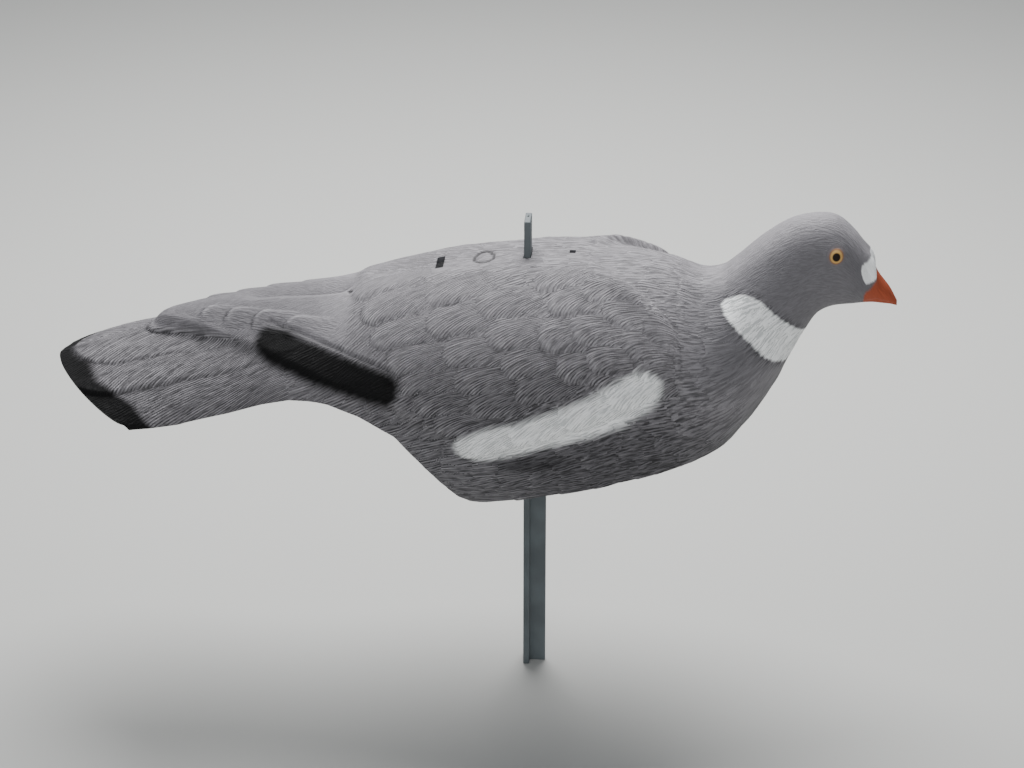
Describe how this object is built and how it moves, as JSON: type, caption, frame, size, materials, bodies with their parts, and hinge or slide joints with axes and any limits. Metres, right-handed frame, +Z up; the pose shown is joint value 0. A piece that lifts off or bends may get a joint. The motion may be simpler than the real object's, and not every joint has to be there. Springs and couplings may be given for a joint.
{
  "type": "pigeon decoy",
  "caption": "Hollow moulded wood pigeon decoy, open underneath, with folded wings, held level on a T-section stake cut off flat at the ground.",
  "frame": {"origin": "middle of the stake's T section at its foot, where it meets the ground", "axes": "+X towards the beak, +Y towards the bird's left side, +Z up the stake"},
  "size_m": [0.4003, 0.1276, 0.2487],
  "materials": {
    "painted_shell": "matt grey sprayed plastic with white, black and orange markings",
    "stake_plastic": "dark slate grey moulded plastic"
  },
  "bodies": {
    "root": {"shell": "painted_shell", "stake": "stake_plastic"}
  },
  "joints": []
}
